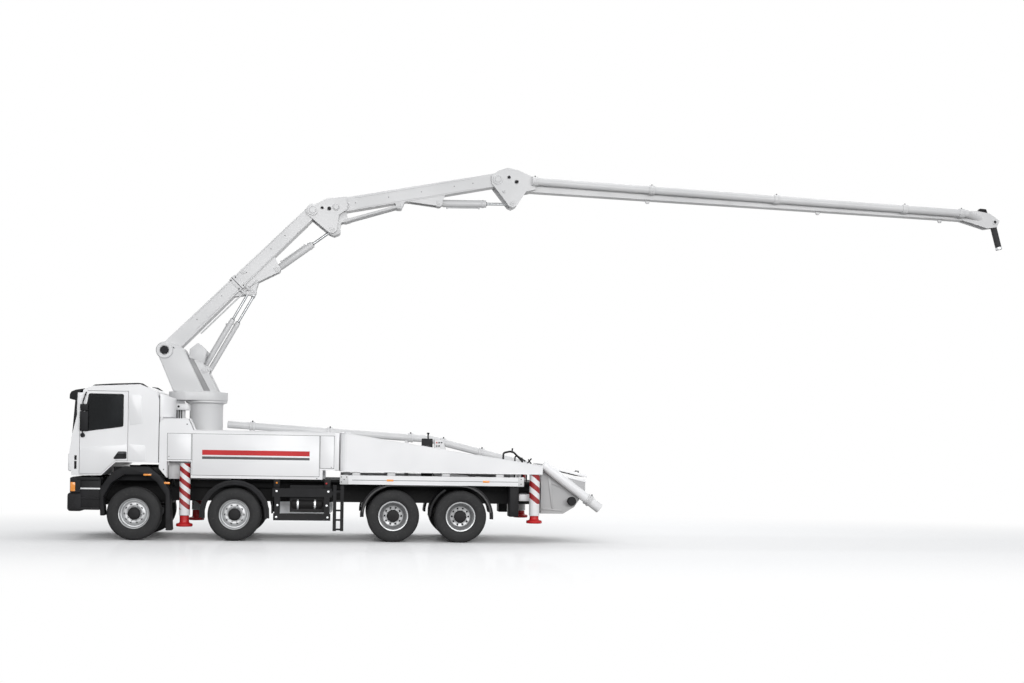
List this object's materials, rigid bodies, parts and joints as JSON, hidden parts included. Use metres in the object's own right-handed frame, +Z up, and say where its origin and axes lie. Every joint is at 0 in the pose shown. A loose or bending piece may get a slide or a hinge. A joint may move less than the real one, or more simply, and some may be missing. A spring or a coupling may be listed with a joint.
{
  "type": "truck-mounted concrete pump",
  "caption": "Four-axle truck with a folding concrete placing boom, stowed outriggers, rear hopper, steered front wheels, opening cab doors and working boom cylinders.",
  "frame": {"origin": "on the ground under the middle of the whole object, boom included", "axes": "+X towards the rear and the boom tip, +Y to the truck's right side, +Z up; the cab faces -X"},
  "size_m": [19.8014, 2.5, 7.835],
  "materials": {
    "white_paint": "satin",
    "boom_paint": "satin",
    "chassis_paint": "satin",
    "dark_trim": "matte",
    "tyre_rubber": "matte",
    "rod_chrome": "polished",
    "tank_metal": "brushed",
    "red_paint": "satin",
    "seat_cloth": "matte",
    "hose_rubber": "matte",
    "window_glass": "gloss",
    "wheel_metal": "satin",
    "lamp_amber": "gloss"
  },
  "bodies": {
    "truck": {"front_axle_1": "chassis_paint", "front_axle_2": "chassis_paint", "drive_axle_1": "chassis_paint", "drive_axle_2": "chassis_paint", "chassis_frame": "chassis_paint", "engine": "chassis_paint", "cab_shell": "white_paint", "cab_seats": "seat_cloth", "dashboard": "dark_trim", "bumper_and_arches": "dark_trim", "mudguard_axle2_left": "dark_trim", "mudguard_axle2_right": "dark_trim", "side_rail_left": "white_paint", "side_rail_right": "white_paint", "subframe": "chassis_paint", "locker_left": "white_paint", "locker_right": "white_paint", "pedestal": "white_paint", "hydraulic_tank": "white_paint", "deck_pipe": "boom_paint", "pump_unit": "boom_paint", "tool_rack_and_ladder": "chassis_paint", "fuel_tank": "tank_metal", "hopper": "boom_paint", "rear_chute_pipe": "white_paint"},
    "knuckle_axle1_left": {"knuckle_axle1_left": "chassis_paint"},
    "wheel_axle1_left": {"wheel_axle1_left": "tyre_rubber"},
    "knuckle_axle1_right": {"knuckle_axle1_right": "chassis_paint"},
    "wheel_axle1_right": {"wheel_axle1_right": "tyre_rubber"},
    "knuckle_axle2_left": {"knuckle_axle2_left": "chassis_paint"},
    "wheel_axle2_left": {"wheel_axle2_left": "tyre_rubber"},
    "knuckle_axle2_right": {"knuckle_axle2_right": "chassis_paint"},
    "wheel_axle2_right": {"wheel_axle2_right": "tyre_rubber"},
    "twin_wheel_axle3_left": {"twin_wheel_axle3_left": "tyre_rubber"},
    "twin_wheel_axle3_right": {"twin_wheel_axle3_right": "tyre_rubber"},
    "twin_wheel_axle4_left": {"twin_wheel_axle4_left": "tyre_rubber"},
    "twin_wheel_axle4_right": {"twin_wheel_axle4_right": "tyre_rubber"},
    "cab_door_left": {"cab_door_left": "white_paint"},
    "cab_door_right": {"cab_door_right": "white_paint"},
    "hopper_lid": {"hopper_lid": "white_paint"},
    "front_outrigger_left": {"front_outrigger_left": "white_paint"},
    "front_foot_left": {"front_foot_left": "red_paint"},
    "rear_outrigger_left": {"rear_outrigger_left": "white_paint"},
    "rear_foot_left": {"rear_foot_left": "red_paint"},
    "front_outrigger_right": {"front_outrigger_right": "white_paint"},
    "front_foot_right": {"front_foot_right": "red_paint"},
    "rear_outrigger_right": {"rear_outrigger_right": "white_paint"},
    "rear_foot_right": {"rear_foot_right": "red_paint"},
    "turret": {"turret": "boom_paint"},
    "first_arm": {"first_arm": "boom_paint"},
    "second_arm": {"second_arm": "boom_paint"},
    "third_arm": {"third_arm": "boom_paint"},
    "end_hose": {"end_hose": "hose_rubber"},
    "lift_cylinder": {"lift_cylinder": "boom_paint"},
    "lift_rod": {"lift_rod": "rod_chrome"},
    "second_cylinder": {"second_cylinder": "boom_paint"},
    "second_rod": {"second_rod": "rod_chrome"},
    "third_cylinder": {"third_cylinder": "boom_paint"},
    "third_rod": {"third_rod": "rod_chrome"}
  },
  "joints": [
    {"name": "steer_axle1_left", "type": "hinge", "parent": "truck", "child": "knuckle_axle1_left", "pos_m": [-8.62568, -1.01, 0.52472], "axis": [0, 0, 1], "range_deg": [-30, 30]},
    {"name": "roll_axle1_left", "type": "hinge", "parent": "knuckle_axle1_left", "child": "wheel_axle1_left", "pos_m": [-8.62568, -1.095, 0.52472], "axis": [0, 1, 0], "continuous": true},
    {"name": "steer_axle1_right", "type": "hinge", "parent": "truck", "child": "knuckle_axle1_right", "pos_m": [-8.62568, 1.01, 0.52472], "axis": [0, 0, 1], "range_deg": [-30, 30]},
    {"name": "roll_axle1_right", "type": "hinge", "parent": "knuckle_axle1_right", "child": "wheel_axle1_right", "pos_m": [-8.62568, 1.095, 0.52472], "axis": [0, 1, 0], "continuous": true},
    {"name": "steer_axle2_left", "type": "hinge", "parent": "truck", "child": "knuckle_axle2_left", "pos_m": [-6.68568, -1.01, 0.52472], "axis": [0, 0, 1], "range_deg": [-18, 18]},
    {"name": "roll_axle2_left", "type": "hinge", "parent": "knuckle_axle2_left", "child": "wheel_axle2_left", "pos_m": [-6.68568, -1.095, 0.52472], "axis": [0, 1, 0], "continuous": true},
    {"name": "steer_axle2_right", "type": "hinge", "parent": "truck", "child": "knuckle_axle2_right", "pos_m": [-6.68568, 1.01, 0.52472], "axis": [0, 0, 1], "range_deg": [-18, 18]},
    {"name": "roll_axle2_right", "type": "hinge", "parent": "knuckle_axle2_right", "child": "wheel_axle2_right", "pos_m": [-6.68568, 1.095, 0.52472], "axis": [0, 1, 0], "continuous": true},
    {"name": "roll_axle3_left", "type": "hinge", "parent": "truck", "child": "twin_wheel_axle3_left", "pos_m": [-3.54568, -0.94, 0.52472], "axis": [0, 1, 0], "continuous": true},
    {"name": "roll_axle3_right", "type": "hinge", "parent": "truck", "child": "twin_wheel_axle3_right", "pos_m": [-3.54568, 0.94, 0.52472], "axis": [0, 1, 0], "continuous": true},
    {"name": "roll_axle4_left", "type": "hinge", "parent": "truck", "child": "twin_wheel_axle4_left", "pos_m": [-2.18568, -0.94, 0.52472], "axis": [0, 1, 0], "continuous": true},
    {"name": "roll_axle4_right", "type": "hinge", "parent": "truck", "child": "twin_wheel_axle4_right", "pos_m": [-2.18568, 0.94, 0.52472], "axis": [0, 1, 0], "continuous": true},
    {"name": "open_door_left", "type": "hinge", "parent": "truck", "child": "cab_door_left", "pos_m": [-9.68968, -1.204, 2.1], "axis": [0, 0, -1], "range_deg": [0, 70]},
    {"name": "open_door_right", "type": "hinge", "parent": "truck", "child": "cab_door_right", "pos_m": [-9.68968, 1.204, 2.1], "axis": [0, 0, 1], "range_deg": [0, 70]},
    {"name": "open_hopper_lid", "type": "hinge", "parent": "truck", "child": "hopper_lid", "pos_m": [-0.44768, 0, 1.592], "axis": [0, -1, 0], "range_deg": [0, 75]},
    {"name": "extend_front_left", "type": "slide", "parent": "truck", "child": "front_outrigger_left", "axis": [0, -1, 0], "range_m": [0, 0.6]},
    {"name": "lower_front_foot_left", "type": "slide", "parent": "front_outrigger_left", "child": "front_foot_left", "axis": [0, 0, -1], "range_m": [0, 0.27]},
    {"name": "swing_rear_left", "type": "hinge", "parent": "truck", "child": "rear_outrigger_left", "pos_m": [-4.48568, -1.1, 1.7], "axis": [0, 0, -1], "range_deg": [0, 90]},
    {"name": "lower_rear_foot_left", "type": "slide", "parent": "rear_outrigger_left", "child": "rear_foot_left", "axis": [0, 0, -1], "range_m": [0, 0.395]},
    {"name": "extend_front_right", "type": "slide", "parent": "truck", "child": "front_outrigger_right", "axis": [0, 1, 0], "range_m": [0, 0.6]},
    {"name": "lower_front_foot_right", "type": "slide", "parent": "front_outrigger_right", "child": "front_foot_right", "axis": [0, 0, -1], "range_m": [0, 0.27]},
    {"name": "swing_rear_right", "type": "hinge", "parent": "truck", "child": "rear_outrigger_right", "pos_m": [-4.48568, 1.1, 1.7], "axis": [0, 0, 1], "range_deg": [0, 90]},
    {"name": "lower_rear_foot_right", "type": "slide", "parent": "rear_outrigger_right", "child": "rear_foot_right", "axis": [0, 0, -1], "range_m": [0, 0.395]},
    {"name": "slew", "type": "hinge", "parent": "truck", "child": "turret", "pos_m": [-7.38568, 0, 2.89], "axis": [0, 0, 1], "range_deg": [-180, 180]},
    {"name": "lift_first_arm", "type": "hinge", "parent": "turret", "child": "first_arm", "pos_m": [-8.20568, 0, 3.81], "axis": [0, -1, 0], "range_deg": [-20, 43]},
    {"name": "fold_second_arm", "type": "hinge", "parent": "first_arm", "child": "second_arm", "pos_m": [-5.27768, 0, 6.783], "axis": [0, 1, 0], "range_deg": [-33, 27]},
    {"name": "fold_third_arm", "type": "hinge", "parent": "second_arm", "child": "third_arm", "pos_m": [-1.42968, 0, 7.578], "axis": [0, 1, 0], "range_deg": [-13, 40]},
    {"name": "swing_end_hose", "type": "hinge", "parent": "third_arm", "child": "end_hose", "pos_m": [9.66332, 0, 7.107], "axis": [0, -1, 0], "range_deg": [-45, 45]},
    {"name": "tilt_lift_cylinder", "type": "hinge", "parent": "turret", "child": "lift_cylinder", "pos_m": [-7.40568, 0, 3.42], "axis": [0, -1, 0], "range_deg": [-18.95, 40.16]},
    {"name": "stroke_lift_rod", "type": "slide", "parent": "lift_cylinder", "child": "lift_rod", "axis": [0.4838, 0, 0.8752], "range_m": [-0.3016, 0.6461]},
    {"name": "tilt_second_cylinder", "type": "hinge", "parent": "first_arm", "child": "second_cylinder", "pos_m": [-6.00068, 0, 5.56], "axis": [0, 1, 0], "range_deg": [-3.87, 3.25]},
    {"name": "stroke_second_rod", "type": "slide", "parent": "second_cylinder", "child": "second_rod", "axis": [0.7971, 0, 0.6038], "range_m": [-0.2466, 0.301]},
    {"name": "tilt_third_cylinder", "type": "hinge", "parent": "second_arm", "child": "third_cylinder", "pos_m": [-2.65968, 0, 7.065], "axis": [0, 1, 0], "range_deg": [-2.3, 6.04]},
    {"name": "stroke_third_rod", "type": "slide", "parent": "third_cylinder", "child": "third_rod", "axis": [0.9997, 0, 0.0264], "range_m": [-0.3706, 0.1218]}
  ],
  "couplings": [
    {"joint": "steer_axle1_right", "follows": "steer_axle1_left", "ratio": 1},
    {"joint": "steer_axle2_left", "follows": "steer_axle1_left", "ratio": 0.6},
    {"joint": "steer_axle2_right", "follows": "steer_axle1_left", "ratio": 0.6},
    {"joint": "tilt_lift_cylinder", "follows": "lift_first_arm", "ratio": 0.9224},
    {"joint": "stroke_lift_rod", "follows": "lift_first_arm", "m_per_rad": 0.85822},
    {"joint": "tilt_second_cylinder", "follows": "fold_second_arm", "ratio": 0.102},
    {"joint": "stroke_second_rod", "follows": "fold_second_arm", "m_per_rad": -0.51913},
    {"joint": "tilt_third_cylinder", "follows": "fold_third_arm", "ratio": 0.1386},
    {"joint": "stroke_third_rod", "follows": "fold_third_arm", "m_per_rad": -0.52805}
  ]
}
